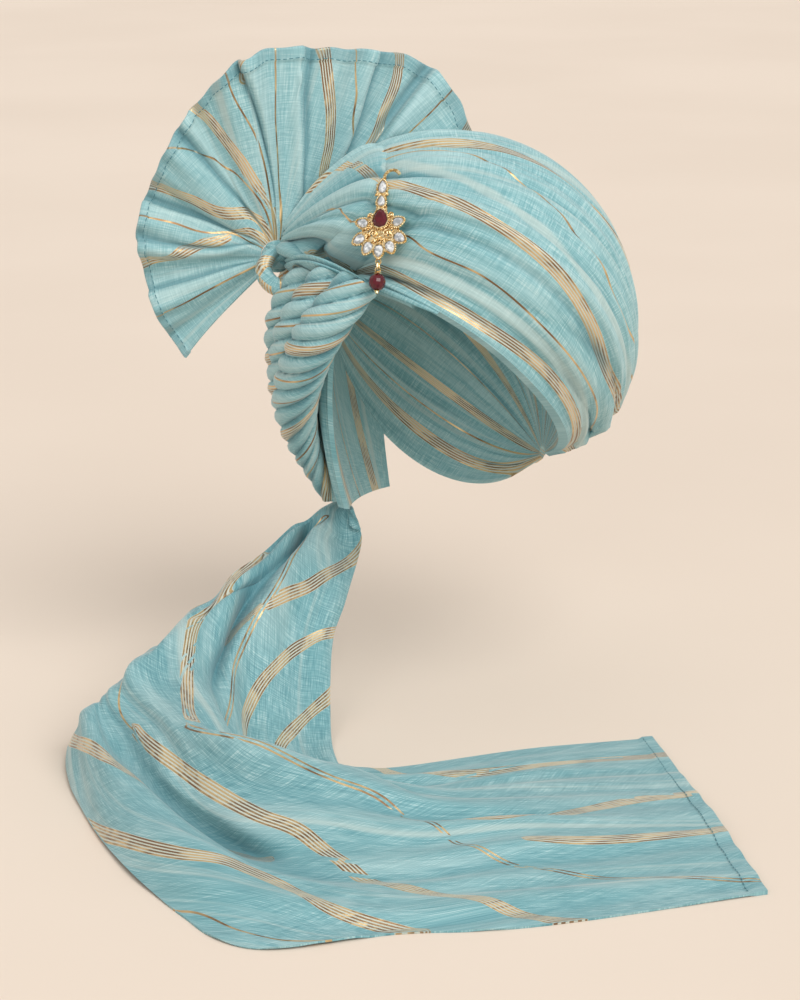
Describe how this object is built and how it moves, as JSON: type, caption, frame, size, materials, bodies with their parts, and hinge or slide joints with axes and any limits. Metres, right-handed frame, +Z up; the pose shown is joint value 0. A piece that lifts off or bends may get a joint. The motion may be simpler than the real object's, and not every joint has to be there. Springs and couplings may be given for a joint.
{
  "type": "tied turban pagri",
  "caption": "Tied cloth turban worn on the head, with crown wraps, twisted side rolls, a pleated fan, a long trailing tail and a jewelled brooch.",
  "frame": {"origin": "the middle of the head opening at the level of the brow, where a head holds the turban", "axes": "+Z up, -Y to the wearer's front, +X to the wearer's left, so the rolls, the fan and the root of the tail are at -X"},
  "size_m": [0.4148, 0.5858, 0.4301],
  "materials": {
    "cloth": "thin slubbed cotton and silk with gold stripes",
    "gold": "polished gold plate",
    "clear_stone": "cut, foiled behind",
    "ruby_stone": "polished deep red"
  },
  "bodies": {
    "root": {"wrap_brow": "cloth", "wrap_front_low": "cloth", "wrap_front_high": "cloth", "wrap_top_front": "cloth", "wrap_top_back": "cloth", "wrap_back_high": "cloth", "wrap_back_low": "cloth", "brow_fold": "cloth", "side_wrap": "cloth", "roll_1": "cloth", "roll_2": "cloth", "roll_3": "cloth", "roll_4": "cloth", "knot": "cloth", "fan": "cloth", "tail": "cloth", "brooch": "gold", "drop_link": "gold", "drop_cap": "gold", "stone_neck_low": "clear_stone", "stone_neck_high": "clear_stone", "stone_side_right": "clear_stone", "stone_side_left": "clear_stone", "stone_petal_1": "clear_stone", "stone_petal_2": "clear_stone", "stone_petal_3": "clear_stone", "stone_petal_4": "clear_stone", "stone_petal_5": "clear_stone", "stone_ruby": "ruby_stone", "drop_bead": "ruby_stone"}
  },
  "joints": []
}
